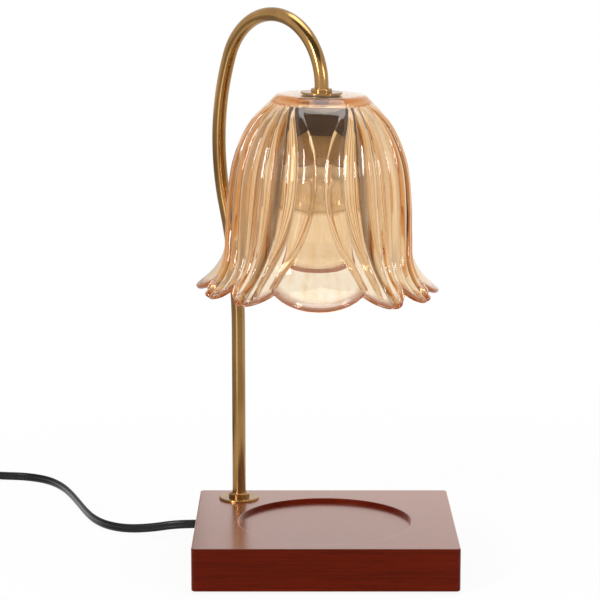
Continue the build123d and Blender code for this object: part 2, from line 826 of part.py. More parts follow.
# Bulb pins: two headed pins that hang on the holder's lip
pin_head_bottom = chamber_floor + pin_clearance
with BuildPart() as bulb_pins:
    with BuildSketch(Plane.XY.offset(bulb_top)):
        with GridLocations(pin_spacing, 0, 2, 1):
            Circle(pin_shank / 2)
    extrude(amount=pin_head_bottom - bulb_top)
    with BuildSketch(Plane.XY.offset(pin_head_bottom)):
        with GridLocations(pin_spacing, 0, 2, 1):
            Circle(pin_head / 2)
    extrude(amount=pin_head_height)
export_on_head(bulb_pins, "bulb_pins")

# Bulb reflector: a glass bowl from the base's neck to the open face
neck_radius = bulb_neck_diameter / 2
mouth_radius = bulb_diameter / 2
with BuildPart() as bulb_reflector:
    with BuildSketch(Plane.XZ):
        with BuildLine():
            outside = TangentArc(
                (mouth_radius, bulb_face), (neck_radius, bulb_base_bottom), tangent=(0, 1)
            )
            inside_neck = (neck_radius - bulb_wall, bulb_base_bottom)
            inside_mouth = (mouth_radius - bulb_wall, bulb_face)
            Line(outside @ 1, inside_neck)
            TangentArc(inside_mouth, inside_neck, tangent=(0, 1))
            Line(inside_mouth, outside @ 0)
        make_face()
    revolve(axis=Axis.Z)
export_on_head(bulb_reflector, "bulb_reflector")

# Bulb lens: the glass that closes the bowl, set back from its edge
with BuildPart() as bulb_lens:
    with BuildSketch(Plane.XY.offset(bulb_face + bulb_lens_setback)):
        Circle(mouth_radius - bulb_wall - free_gap)
    extrude(amount=bulb_lens_thickness)
export_on_head(bulb_lens, "bulb_lens")

# Bulb capsule: the lit quartz tube that stands in the bowl
with BuildPart() as bulb_capsule:
    with BuildSketch(Plane.XY.offset(bulb_base_bottom)):
        Circle(capsule_diameter / 2)
    extrude(amount=-capsule_length)
    fillet(bulb_capsule.faces().sort_by(Axis.Z)[0].edges(), capsule_diameter / 3)
export_on_head(bulb_capsule, "bulb_capsule")


def corner_radii(points):
    """Give each corner of a cord's route the largest bend that its two runs leave room for."""
    corners = [Vector(*point) for point in points]
    radii = []
    for before, corner, after in zip(corners, corners[1:], corners[2:]):
        turn = (corner - before).get_angle(after - corner)
        shorter = min((corner - before).length, (after - corner).length)
        radii.append(run_share * shorter / math.tan(math.radians(turn / 2)))
    return radii


def cord_run(name, points):
    """Sweep the round cord along a route and say how tight it bends and how much of it there is."""
    radii = corner_radii(points)
    with BuildPart() as run:
        with BuildLine() as path:
            FilletPolyline(*points, radius=radii)
        with BuildSketch(Plane(origin=path.line @ 0, z_dir=path.line % 0)):
            Circle(cord_diameter / 2)
        sweep(path=path.wire())
    length = path.wire().length
    full_volume = math.pi * cord_diameter**2 / 4 * length
    print(name, "bend radii", [round(radius, 1) for radius in radii], "least", round(min(radii), 1))
    print(name, "length", round(length, 1), "volume share", round(run.part.volume / full_volume, 4))
    return run


# Cord lead: from the base's wall over the table to the dimmer
cord_lead = cord_run("cord_lead", lead_route)
cord_lead.part.label = "cord_lead"
export_step(cord_lead.part, "parts/cord_lead.step")

# Cord link: from the dimmer round to the coil
cord_link = cord_run("cord_link", link_route)
cord_link.part.label = "cord_link"
export_step(cord_link.part, "parts/cord_link.step")

# Cord tail: from the coil down to the table and into the plug
cord_tail = cord_run("cord_tail", tail_route)
cord_tail.part.label = "cord_tail"
export_step(cord_tail.part, "parts/cord_tail.step")

# Cord coil: turns that wind in on the lower layer, climb in half a turn, and wind out on the upper one
coil_start = Vector(*link_route[-1])
coil_middle = Vector(coil_start.X + coil_radius, coil_start.Y - coil_entry, coil_start.Z)
climb_turns = 0.5
coil_turns = 2 * turns_per_layer + climb_turns
quarter_turn = 0.25


def coil_point(turn):
    """Give the place of the cord's middle after a number of turns."""
    wound_in = min(turn, turns_per_layer)
    climbed = min(max((turn - turns_per_layer) / climb_turns, 0), 1)
    wound_out = max(turn - turns_per_layer - climb_turns, 0)
    radius = coil_radius - coil_pitch * (wound_in - wound_out)
    height = layer_pitch * climbed * climbed * (3 - 2 * climbed)
    angle = math.pi + 2 * math.pi * turn
    return coil_middle + Vector(radius * math.cos(angle), radius * math.sin(angle), height)


def coil_heading(turn):
    """Give the cord's direction there, square across the layer at both ends."""
    if turn in (0, coil_turns):
        return Vector(0, -1, 0)
    step = quarter_turn / 100
    return (coil_point(turn + step) - coil_point(turn - step)).normalized()


def coil_biarc(start, end):
    """Draw two arcs that meet smoothly between two places along the coil."""
    first, last = coil_point(start), coil_point(end)
    leaving, arriving = coil_heading(start), coil_heading(end)
    span = last - first
    both = leaving + arriving
    spread = 2 * (1 - leaving.dot(arriving))
    reach_each = (math.sqrt(span.dot(both) ** 2 + spread * span.dot(span)) - span.dot(both)) / spread
    meeting = (first + leaving * reach_each + last - arriving * reach_each) / 2
    TangentArc(first, meeting, tangent=leaving)
    TangentArc(last, meeting, tangent=arriving * -1)


with BuildPart() as cord_coil:
    with BuildLine() as coil_path:
        Line(coil_start, coil_point(0))
        for step in range(round(coil_turns / quarter_turn)):
            coil_biarc(step * quarter_turn, (step + 1) * quarter_turn)
        Line(coil_point(coil_turns), coil_point(coil_turns) - Vector(0, coil_exit, 0))
    with BuildSketch(Plane(origin=coil_start, z_dir=(0, -1, 0))):
        Circle(cord_diameter / 2)
    sweep(path=coil_path.wire())
cord_coil.part.label = "cord_coil"
export_step(cord_coil.part, "parts/cord_coil.step")
samples_per_turn = 72
sample_count = round(coil_turns * samples_per_turn) + 1
coil_places = [coil_point(step / samples_per_turn) for step in range(sample_count)]
least_gap = min(
    (one - other).length - cord_diameter
    for index, one in enumerate(coil_places)
    for other in coil_places[index + samples_per_turn // 2 :]
)
coil_length = coil_path.wire().length
print("cord_coil length", round(coil_length, 1), "least gap to itself", round(least_gap, 2))
print("cord_coil volume share", cord_coil.part.volume / (math.pi * cord_diameter**2 / 4 * coil_length))

# Cord tie: a band round the bundle of turns
bundle_inner = coil_radius - coil_pitch * turns_per_layer - cord_diameter / 2 - free_gap
bundle_outer = coil_radius + cord_diameter / 2 + free_gap
bundle_width = bundle_outer - bundle_inner
bundle_height = layer_pitch + cord_diameter + 2 * slip_fit
bundle_bottom = coil_middle.Z - cord_diameter / 2 - slip_fit
with BuildPart() as cord_tie:
    with BuildSketch(
        Plane(
            origin=(coil_middle.X, coil_middle.Y + tie_width / 2, bundle_bottom),
            x_dir=(1, 0, 0),
            z_dir=(0, -1, 0),
        )
    ):
        with Locations(((bundle_inner + bundle_outer) / 2, bundle_height / 2)):
            RectangleRounded(
                bundle_width + 2 * tie_thickness, bundle_height + 2 * tie_thickness, tie_corner
            )
            RectangleRounded(
                bundle_width, bundle_height, tie_corner - tie_thickness, mode=Mode.SUBTRACT
            )
    extrude(amount=tie_width)
cord_tie.part.label = "cord_tie"
export_step(cord_tie.part, "parts/cord_tie.step")

# Plug: a moulded body that widens to the face with two flat blades
plug_rear = Vector(*tail_route[-1])
plug_face = plug_rear - Vector(0, plug_length, 0)
with BuildPart() as plug_body:
    with BuildSketch(Plane(origin=plug_rear, x_dir=(1, 0, 0), z_dir=(0, -1, 0))):
        RectangleRounded(plug_rear_width, plug_rear_height, plug_corner)
    with BuildSketch(Plane(origin=plug_face, x_dir=(1, 0, 0), z_dir=(0, -1, 0))):
        RectangleRounded(plug_width, plug_height, plug_corner)
    loft()
    with BuildSketch(Plane(origin=plug_face, x_dir=(1, 0, 0), z_dir=(0, -1, 0))):
        with GridLocations(blade_spacing, 0, 2, 1):
            Rectangle(blade_thickness + 2 * slip_fit, blade_width + 2 * slip_fit)
    extrude(amount=-blade_set_in, mode=Mode.SUBTRACT)
plug_body.part.label = "plug_body"
export_step(plug_body.part, "parts/plug_body.step")
with BuildPart() as plug_blades:
    with BuildSketch(
        Plane(origin=plug_face + Vector(0, blade_set_in, 0), x_dir=(1, 0, 0), z_dir=(0, -1, 0))
    ):
        with GridLocations(blade_spacing, 0, 2, 1):
            Rectangle(blade_thickness, blade_width)
    extrude(amount=blade_set_in + blade_length)
    chamfer(plug_blades.edges().group_by(Axis.Y)[0].filter_by(Axis.X), blade_corner)
plug_blades.part.label = "plug_blades"
export_step(plug_blades.part, "parts/plug_blades.step")

# In-line dimmer: two moulded shells that grip the cord at both ends
dimmer_inlet = Vector(*lead_route[-1]) + Vector(dimmer_wall + dimmer_grip, 0, 0)
dimmer_middle = (dimmer_inlet.X - dimmer_length / 2, dimmer_inlet.Y)
boss_grid = (2 * dimmer_boss_x, 2 * dimmer_boss_y, 2, 2)


def at_dimmer(height):
    """Give the level plane through the dimmer's middle at a height."""
    return Plane(origin=(*dimmer_middle, height))


def dimmer_shell(bottom, top, open_up):
    """Make one hollow half of the dimmer's case, with its screw bosses and its cord slots."""
    cavity_bottom = bottom + dimmer_wall if open_up else bottom
    cavity_top = top if open_up else top - dimmer_wall
    with BuildPart() as shell:
        with BuildSketch(at_dimmer(bottom)):
            RectangleRounded(dimmer_length, dimmer_width, dimmer_corner)
        extrude(amount=top - bottom)
        closed_face = shell.faces().sort_by(Axis.Z)[0 if open_up else -1]
        fillet(closed_face.edges(), dimmer_edge)
        with BuildSketch(at_dimmer(cavity_bottom)):
            RectangleRounded(
                dimmer_length - 2 * dimmer_wall, dimmer_width - 2 * dimmer_wall, dimmer_corner - dimmer_wall
            )
            with GridLocations(*boss_grid):
                Circle(dimmer_boss / 2, mode=Mode.SUBTRACT)
        extrude(amount=cavity_top - cavity_bottom, mode=Mode.SUBTRACT)
        with BuildSketch(Plane(origin=dimmer_inlet, x_dir=(0, 1, 0), z_dir=(-1, 0, 0))):
            Circle(cord_diameter / 2 + slip_fit)
        extrude(amount=dimmer_length, mode=Mode.SUBTRACT)
    return shell


lower = dimmer_shell(0, dimmer_split, True)
with BuildPart() as dimmer_lower_shell:
    add(lower.part)
    with BuildSketch(at_dimmer(dimmer_wall)):
        with GridLocations(board_length - 2 * board_post_inset, board_width - 2 * board_post_inset, 2, 2):
            Circle(board_post / 2)
    extrude(amount=board_height - dimmer_wall)
    with Locations(Plane(origin=(*dimmer_middle, 0), z_dir=(0, 0, -1))):
        with GridLocations(*boss_grid):
            CounterBoreHole(
                dimmer_screw_shank / 2 + slip_fit,
                dimmer_screw_head / 2 + slip_fit,
                dimmer_screw_head_height + slip_fit,
            )
dimmer_lower_shell.part.label = "dimmer_lower_shell"
export_step(dimmer_lower_shell.part, "parts/dimmer_lower_shell.step")
screw_seat = dimmer_screw_head_height + slip_fit
screw_tip = screw_seat + dimmer_screw_length
upper = dimmer_shell(dimmer_split, dimmer_height, False)
knob_hole = knob_stem + 2 * running_fit
with BuildPart() as dimmer_upper_shell:
    add(upper.part)
    with BuildSketch(at_dimmer(dimmer_height)):
        Circle(knob_hole / 2)
    extrude(amount=-dimmer_wall, mode=Mode.SUBTRACT)
    with BuildSketch(at_dimmer(dimmer_split)):
        with GridLocations(*boss_grid):
            Circle(dimmer_screw_shank / 2 + slip_fit)
    extrude(amount=screw_tip + free_gap - dimmer_split, mode=Mode.SUBTRACT)
dimmer_upper_shell.part.label = "dimmer_upper_shell"
export_step(dimmer_upper_shell.part, "parts/dimmer_upper_shell.step")

# Dimmer screws: four pan heads from below
with BuildPart() as dimmer_screws:
    with BuildSketch(at_dimmer(slip_fit)):
        with GridLocations(*boss_grid):
            Circle(dimmer_screw_head / 2)
    extrude(amount=dimmer_screw_head_height)
    with BuildSketch(at_dimmer(screw_seat)):
        with GridLocations(*boss_grid):
            Circle(dimmer_screw_shank / 2)
    extrude(amount=dimmer_screw_length)
dimmer_screws.part.label = "dimmer_screws"
export_step(dimmer_screws.part, "parts/dimmer_screws.step")

# Dimmer board on its posts, with the potentiometer that the knob turns
board_top = board_height + board_thickness
with BuildPart() as dimmer_board:
    with BuildSketch(at_dimmer(board_height)):
        Rectangle(board_length, board_width)
    extrude(amount=board_thickness)
dimmer_board.part.label = "dimmer_board"
export_step(dimmer_board.part, "parts/dimmer_board.step")
pot_top = board_top + pot_height
with BuildPart() as dimmer_pot:
    with BuildSketch(at_dimmer(board_top)):
        Rectangle(pot_side, pot_side)
    extrude(amount=pot_height)
    with BuildSketch(at_dimmer(pot_top)):
        Circle(knob_hole / 2)
    extrude(amount=-pot_bore_depth, mode=Mode.SUBTRACT)
dimmer_pot.part.label = "dimmer_pot"
export_step(dimmer_pot.part, "parts/dimmer_pot.step")

# Dimmer knob: a fluted dial with its stem and a pointer groove
knob_bottom = dimmer_height + pin_clearance
knob_stem_end = pot_top - pot_bore_depth + pin_clearance
with BuildPart() as dimmer_knob:
    with BuildSketch(at_dimmer(knob_bottom)):
        Circle(knob_diameter / 2)
    extrude(amount=knob_height)
    fillet(dimmer_knob.faces().sort_by(Axis.Z)[-1].edges(), knob_edge)
    with BuildSketch(at_dimmer(knob_bottom)):
        with PolarLocations(knob_diameter / 2, knob_flutes):
            Circle(knob_flute / 2)
    extrude(amount=knob_height, mode=Mode.SUBTRACT)
    with BuildSketch(at_dimmer(knob_bottom + knob_height - knob_mark_depth)):
        with Locations((0, knob_diameter / 2 - knob_edge - knob_mark_length / 2)):
            Rectangle(knob_mark_width, knob_mark_length)
    extrude(amount=knob_mark_depth, mode=Mode.SUBTRACT)
    with BuildSketch(at_dimmer(knob_stem_end)):
        Circle(knob_stem / 2)
    extrude(amount=knob_bottom - knob_stem_end)
dimmer_knob.part.label = "dimmer_knob"
export_step(dimmer_knob.part, "parts/dimmer_knob.step")
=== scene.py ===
"""Looks of the candle warmer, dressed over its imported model, in metres in the same frame."""

import math

import bpy
from mathutils import Matrix, Vector


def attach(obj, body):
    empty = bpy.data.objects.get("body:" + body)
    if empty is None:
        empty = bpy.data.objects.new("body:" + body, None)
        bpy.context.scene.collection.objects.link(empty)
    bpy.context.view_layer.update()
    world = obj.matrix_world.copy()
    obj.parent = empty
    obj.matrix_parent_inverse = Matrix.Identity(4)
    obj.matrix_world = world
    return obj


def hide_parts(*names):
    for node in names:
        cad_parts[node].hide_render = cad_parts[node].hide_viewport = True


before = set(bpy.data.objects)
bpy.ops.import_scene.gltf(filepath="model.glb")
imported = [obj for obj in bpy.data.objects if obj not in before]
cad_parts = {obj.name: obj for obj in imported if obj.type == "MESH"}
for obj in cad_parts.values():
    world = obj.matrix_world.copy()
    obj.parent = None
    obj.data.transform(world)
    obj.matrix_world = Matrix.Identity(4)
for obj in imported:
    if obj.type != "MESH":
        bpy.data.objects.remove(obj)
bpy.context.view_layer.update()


# The wooden base: a solid block of dark cherry with a round seat turned in its top for the candle.
# It is sanded, stained red-brown with the grain running left to right, and sealed with satin lacquer.
def srgb(code):
    """A colour written as six hexadecimal digits, as the shader's own linear numbers."""
    parts = [int(code[i : i + 2], 16) / 255 for i in (0, 2, 4)]
    return tuple(c / 12.92 if c <= 0.04045 else ((c + 0.055) / 1.055) ** 2.4 for c in parts) + (1.0,)


class Value:
    """A shader socket that takes part in Python sums, each of which adds a Math node."""

    def __init__(self, shading, socket):
        self.shading, self.socket = shading, socket

    def math(self, operation, first, second=0.0):
        return self.shading.node("ShaderNodeMath", {"operation": operation}, {0: first, 1: second})

    def __add__(self, other):
        return self.math("ADD", self, other)

    def __sub__(self, other):
        return self.math("SUBTRACT", self, other)

    def __rsub__(self, other):
        return self.math("SUBTRACT", other, self)

    def __mul__(self, other):
        return self.math("MULTIPLY", self, other)

    def __pow__(self, other):
        return self.math("POWER", self, other)

    def over(self, limit):
        return self.math("GREATER_THAN", self, limit)

    __radd__, __rmul__ = __add__, __mul__


class Shading:
    """A tree of shader nodes."""

    def __init__(self, tree):
        self.tree = tree

    def feed(self, node, inputs):
        for key, value in inputs.items():
            if isinstance(value, Value):
                self.tree.links.new(value.socket, node.inputs[key])
            else:
                node.inputs[key].default_value = value

    def node(self, kind, settings, inputs, output=0):
        made = self.tree.nodes.new(kind)
        for key, value in settings.items():
            if key == "stops":
                while len(made.color_ramp.elements) < len(value):
                    made.color_ramp.elements.new(1.0)
                for element, (place, colour) in zip(made.color_ramp.elements, value):
                    element.position, element.color = place, colour
            else:
                setattr(made, key, value)
        self.feed(made, inputs)
        return Value(self, made.outputs[output])

    def ray(self, kind):
        """What the Light Path node tells about the ray that meets the surface."""
        return self.node("ShaderNodeLightPath", {}, {}, output=kind)

    def background_ray(self):
        """1 for the rays that show the white background: straight, mirrored or through glass."""
        return self.ray("Is Camera Ray") + self.ray("Is Glossy Ray") + self.ray("Is Transmission Ray")


class Finish(Shading):
    """A procedural material: a Principled shader and the nodes that feed it."""

    def __init__(self, name, **constants):
        self.material = bpy.data.materials.new(name)
        self.material.use_nodes = True
        super().__init__(self.material.node_tree)
        self.shader = self.tree.nodes["Principled BSDF"]
        self.output = self.tree.nodes["Material Output"]
        self.set(**constants)

    def set(self, **inputs):
        self.feed(self.shader, {key.replace("_", " "): value for key, value in inputs.items()})

    def place(self, stretch=(1, 1, 1)):
        """The point on the piece, in metres, with each axis multiplied by its stretch."""
        point = self.node("ShaderNodeTexCoord", {}, {}, output="Object")
        return self.node("ShaderNodeVectorMath", {"operation": "MULTIPLY"}, {0: point, 1: stretch})

    def noise(self, point, scale, detail=3.0, roughness=0.55):
        inputs = {"Vector": point, "Scale": scale, "Detail": detail, "Roughness": roughness}
        return self.node("ShaderNodeTexNoise", {"normalize": True}, inputs)

    def ramp(self, value, *stops):
        return self.node("ShaderNodeValToRGB", {"stops": stops}, {0: value})

    def mask(self, value, low, high):
        """0 below low, 1 above high, and a smooth step between them."""
        settings = {"interpolation_type": "SMOOTHSTEP"}
        return self.node("ShaderNodeMapRange", settings, {0: value, 1: low, 2: high, 3: 0.0, 4: 1.0})

    def mix(self, factor, first, second):
        return self.node("ShaderNodeMix", {"data_type": "RGBA"}, {0: factor, 6: first, 7: second}, output=2)

    def bump(self, height, distance, strength=1.0):
        inputs = {"Height": height, "Distance": distance, "Strength": strength}
        return self.node("ShaderNodeBump", {}, inputs)

    def blend(self, factor, other):
        """Shows another shader in place of the Principled one, by a factor."""
        own = Value(self, self.shader.outputs[0])
        mixed = self.node("ShaderNodeMixShader", {}, {0: factor, 1: own, 2: other})
        self.feed(self.output, {"Surface": mixed})

    def glow(self, colour, strength):
        return self.node("ShaderNodeEmission", {}, {"Color": (*colour, 1.0), "Strength": strength})


def dress(finish, *nodes):
    """Gives CAD nodes this finish."""
    for name in nodes:
        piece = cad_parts[name]
        if not piece.material_slots:
            piece.data.materials.append(finish.material)
        for slot in piece.material_slots:
            slot.material = finish.material


stained_wood = Finish("stained_wood", Specular_IOR_Level=0.03, Coat_IOR=1.5, Coat_Roughness=0.24)
grazing = stained_wood.node("ShaderNodeLayerWeight", {}, {"Blend": 0.5}, output="Facing")
figure = stained_wood.noise(stained_wood.place((0.05, 1, 1)), 90, detail=4)
fibres = stained_wood.noise(stained_wood.place((0.02, 1, 1)), 1100, detail=2)
pores = stained_wood.noise(stained_wood.place((0.09, 1, 1)), 1000, detail=1)
pore = stained_wood.mask(pores, 0.62, 0.70)
stain = stained_wood.ramp(
    figure * 0.55 + fibres * 0.45,
    (0.32, srgb("4e1407")),
    (0.50, srgb("601a09")),
    (0.66, srgb("70230e")),
)
stained_wood.set(
    Base_Color=stained_wood.mix(pore * 0.45, stain, srgb("3a1108")),
    Roughness=0.30 + fibres * 0.14,
    Coat_Weight=1.3 * grazing**1.6,
    Normal=stained_wood.bump(fibres * 0.4 - pore, 0.00006),
)
sheen = stained_wood.node("ShaderNodeBsdfGlossy", {}, {"Color": (1.0, 0.71, 0.60, 1.0), "Roughness": 0.22})
stained_wood.blend(1.6 * grazing**6, sheen)
dress(stained_wood, "wood_base")


# Under the base: a pressed cover board held by four screws, and five round rubber feet that keep the
# wood off the table. The feet are moulded and stuck on, one in the middle and one at each corner.
black_rubber = Finish("black_rubber", Specular_IOR_Level=0.35)
rubber_grain = black_rubber.noise(black_rubber.place(), 1500)
black_rubber.set(
    Base_Color=black_rubber.ramp(rubber_grain, (0.3, srgb("141414")), (0.7, srgb("262524"))),
    Roughness=0.62 + rubber_grain * 0.25,
    Normal=black_rubber.bump(rubber_grain, 0.00008),
)
dress(black_rubber, "rubber_feet", "cord_grommet", "cord_tie")

cover_board = Finish("cover_board", Specular_IOR_Level=0.3)
board_fibres = cover_board.noise(cover_board.place(), 700, detail=5, roughness=0.7)
cover_board.set(
    Base_Color=cover_board.ramp(board_fibres, (0.35, srgb("1f1c1a")), (0.7, srgb("3a3430"))),
    Roughness=0.7 + board_fibres * 0.2,
    Normal=cover_board.bump(board_fibres, 0.0001),
)
dress(cover_board, "bottom_cover")

steel = Finish("steel", Metallic=1.0)
steel_marks = steel.noise(steel.place(), 1800, detail=4)
steel.set(
    Base_Color=steel.ramp(steel_marks, (0.3, srgb("8c8b88")), (0.7, srgb("b9b7b2"))),
    Roughness=0.25 + steel_marks * 0.25,
    Normal=steel.bump(steel_marks, 0.00002),
)
dress(steel, "cover_screws", "stem_lock_washer", "stem_nut", "cord_stop", "cup_nut", "holder_screws")


# The brass: a foot disc and turned collar on the wood, the swan-neck tube, and the collar and washer that
# clamp the glass. All are plated, toned to antique brass and lightly brushed, with darker tone left in it.
antique_brass = Finish("antique_brass", Metallic=1.0)
toning = antique_brass.noise(antique_brass.place((1, 1, 0.35)), 60, detail=4, roughness=0.5)
brushing = antique_brass.noise(antique_brass.place((1, 1, 0.03)), 2200, detail=2)
antique_brass.set(
    Base_Color=antique_brass.ramp(
        toning * 0.75 + brushing * 0.25,
        (0.30, srgb("866339")),
        (0.50, srgb("a07a4a")),
        (0.70, srgb("b38d5b")),
    ),
    Roughness=0.15 + brushing * 0.03 + toning * 0.03,
    Normal=antique_brass.bump(brushing, 0.0000002),
)
dress(antique_brass, "base_flange", "foot_collar", "stem_tube", "head_collar", "shade_washer")


# The glass shade: a bell of pressed amber glass shaped as a flower, hung by its flat top. Four petals of raised
# ribs, each half with a deep groove, stand between smooth lobes. The rim is cut in waves and melted round.
shade_top = 0.27378
shade_height = 0.112
shade_radius = 0.072
shade_wall = 0.0044
top_thickness = 0.005
hole_radius = 0.0052
petals = 4
ribs_in_half = 4
rib_depth = 0.0019
groove_depth = 0.0020
groove_place, groove_share = 0.5, 0.09
rib_swell_shares = (0.75, 1.10, 1.10, 0.80)
notch_rise, stem_notch_rise, valley_rise = 0.008, 0.011, 0.0068
stem_petal = 1
tip_share, valley_share = 0.25, 0.54
front_spread = math.radians(5)
rim_round = 0.002
edge_steps = 8
top_rows, outside_rows, inside_rows = 4, 110, 60
rib_columns, lobe_columns = 72, 18
# Drop and radius as shares of the shade's, a petal's half width and the ribs' depth as shares of the largest
shade_level_shares = (
    (0.00, 0.350, 0.52, 0.00),
    (0.04, 0.412, 0.58, 0.10),
    (0.08, 0.474, 0.69, 0.55),
    (0.16, 0.563, 0.84, 0.85),
    (0.25, 0.626, 0.92, 1.00),
    (0.36, 0.677, 0.955, 1.00),
    (0.52, 0.708, 0.93, 1.00),
    (0.69, 0.726, 0.81, 1.00),
    (0.81, 0.752, 0.65, 0.95),
    (0.895, 0.822, 0.56, 0.85),
    (0.96, 0.920, 0.54, 0.70),
    (1.00, 1.000, 0.54, 0.55),
)


def smooth_between(levels, drop, column):
    """A column of the level table at a drop, along a smooth curve through its rows."""
    below = max(i for i in range(len(levels) - 1) if levels[i][0] <= drop + 1e-9)
    near = [levels[min(max(i, 0), len(levels) - 1)] for i in range(below - 1, below + 3)]
    (d0, v0), (d1, v1), (d2, v2), (d3, v3) = [(row[0], row[column]) for row in near]
    slope_in = (v2 - v0) / (d2 - d0)
    slope_out = (v3 - v1) / (d3 - d1)
    span = d2 - d1
    t = (drop - d1) / span
    return (
        (2 * t**3 - 3 * t**2 + 1) * v1
        + (t**3 - 2 * t**2 + t) * span * slope_in
        + (3 * t**2 - 2 * t**3) * v2
        + (t**3 - t**2) * span * slope_out
    )


def rim_rise(share, petal):
    """How far the rim stands above the shade's lowest point, in arcs that meet in a cusp at each valley."""
    if share < tip_share:
        deepest = stem_notch_rise if petal == stem_petal else notch_rise
        return deepest * (1 - share / tip_share) ** 2
    if share < valley_share:
        return valley_rise * ((share - tip_share) / (valley_share - tip_share)) ** 2
    return valley_rise * ((1 - share) / (1 - valley_share)) ** 2


def groove_mark(across):
    """1 along the deep groove down the middle of each half petal, and 0 away from it."""
    return max(1 - abs(across - groove_place) / groove_share, 0.0) ** 1.3


def valley_mark(across):
    """1 in the sharp valley between two ribs, and 0 away from it."""
    in_rib = across * ribs_in_half % 1
    return max(1 - min(in_rib, 1 - in_rib) / 0.14, 0.0)


def rib_relief(across, depth_share):
    """How far the pressed pattern stands out from the plain bell, from a petal's middle to its edge."""
    rib = min(int(across * ribs_in_half), ribs_in_half - 1)
    in_rib = min(across * ribs_in_half - rib, 1.0)
    relief = rib_depth * rib_swell_shares[rib] * max(math.sin(math.pi * in_rib), 0.0) ** 0.75
    return (relief - groove_depth * groove_mark(across)) * depth_share


def bell_point(angle, drop, out):
    """A point on the bell at this angle and drop, standing out from its plain outside."""
    radius = shade_radius * smooth_between(shade_level_shares, drop, 1) + out
    return (radius * math.cos(angle), radius * math.sin(angle), shade_top - shade_height * drop)


def level_point(angle, radius, height):
    return (radius * math.cos(angle), radius * math.sin(angle), height)


def shade_column(petal, side, across, lobe):
    """One loop of points down the outside at a place in the pattern, round the rim and up the inside."""
    half = math.pi / petals
    middle = half * (2 * petal + 1)

    def share_at(drop):
        petal_share = smooth_between(shade_level_shares, drop, 2)
        return petal_share * across + (1 - petal_share) * lobe

    def angle_at(drop):
        angle = middle + side * half * share_at(drop)
        return angle - front_spread * math.sin(2 * angle) if math.sin(angle) < 0 else angle

    rim_drop = 1 - (rim_rise(share_at(1), petal) + rim_round) / shade_height
    outside = [rim_drop * i / outside_rows for i in range(outside_rows + 1)]
    ceiling_drop = top_thickness / shade_height
    inside = [rim_drop + (ceiling_drop - rim_drop) * i / inside_rows for i in range(inside_rows + 1)]
    first_radius = shade_radius * shade_level_shares[0][1]
    points = [
        level_point(angle_at(0), hole_radius + (first_radius - hole_radius) * i / top_rows, shade_top)
        for i in range(top_rows)
    ]
    for drop in outside:
        depth_share = smooth_between(shade_level_shares, drop, 3)
        relief = rib_relief(across if lobe == 0 else 1, depth_share)
        points.append(bell_point(angle_at(drop), drop, relief))
    outer = Vector(points[-1])
    inner = Vector(bell_point(angle_at(rim_drop), rim_drop, -shade_wall))
    centre, reach = (outer + inner) / 2, (outer - inner) / 2
    for i in range(1, edge_steps):
        turn = math.pi * i / edge_steps
        points.append(centre + reach * math.cos(turn) - Vector((0, 0, rim_round * math.sin(turn))))
    points += [bell_point(angle_at(drop), drop, -shade_wall) for drop in inside]
    last_radius = math.hypot(points[-1][0], points[-1][1])
    points += [
        level_point(angle_at(0), last_radius + (hole_radius - last_radius) * i / top_rows, points[-1][2])
        for i in range(1, top_rows + 1)
    ]
    return points


def grid_piece(name, loops, finish, body, wrap=True):
    """A smooth mesh piece from loops of points, each joined to the next and closed on itself."""
    count = len(loops[0])
    faces = []
    for i in range(len(loops) if wrap else len(loops) - 1):
        here, there = i * count, (i + 1) % len(loops) * count
        for j in range(count):
            k = (j + 1) % count
            faces.append((here + j, here + k, there + k, there + j))
    if not wrap:
        faces += [tuple(reversed(range(count))), tuple(range((len(loops) - 1) * count, len(loops) * count))]
    mesh = bpy.data.meshes.new(name)
    mesh.from_pydata([tuple(p) for loop in loops for p in loop], [], faces)
    mesh.polygons.foreach_set("use_smooth", [True] * len(mesh.polygons))
    mesh.materials.append(finish.material)
    mesh.update()
    piece = bpy.data.objects.new(name, mesh)
    bpy.context.collection.objects.link(piece)
    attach(piece, body)
    return piece


amber_glass = Finish("amber_glass", Transmission_Weight=1.0, IOR=1.5)
lustre = amber_glass.noise(amber_glass.place((1, 1, 0.12)), 210, detail=3)
rim_edge = amber_glass.node("ShaderNodeAttribute", {"attribute_name": "rim_edge"}, {}, output="Fac")
# Painted shade: the groove mark tints the glass dark brown down the petals' grooves and, more lightly, in the
# valleys between ribs
groove = amber_glass.node("ShaderNodeAttribute", {"attribute_name": "groove"}, {}, output="Fac")
amber = amber_glass.ramp(lustre, (0.30, srgb("f3dcbb")), (0.45, srgb("fbeeda")), (0.70, srgb("fff6ea")))
amber = amber_glass.mix(groove * 0.9, amber, srgb("4d3322"))
amber_glass.set(
    Base_Color=amber_glass.mix(rim_edge * 0.95, amber, srgb("a9705a")),
    Roughness=0.012 + lustre * 0.02,
)
depth_tint = amber_glass.node(
    "ShaderNodeVolumeAbsorption", {}, {"Color": (0.90, 0.69, 0.34, 1.0), "Density": 78.0}
)
amber_glass.feed(amber_glass.output, {"Volume": depth_tint})
# Painted glow: rays that turn many times in the thick glass meet a flat deep amber emission in place of the glass
# shader
painted_glow_mask = amber_glass.ray("Glossy Depth").over(2.5) + amber_glass.ray("Ray Depth").over(9.5)
amber_glass.blend(painted_glow_mask, amber_glass.glow((0.85, 0.65, 0.45), 1.0))
amber_glass.material.cycles.emission_sampling = "NONE"

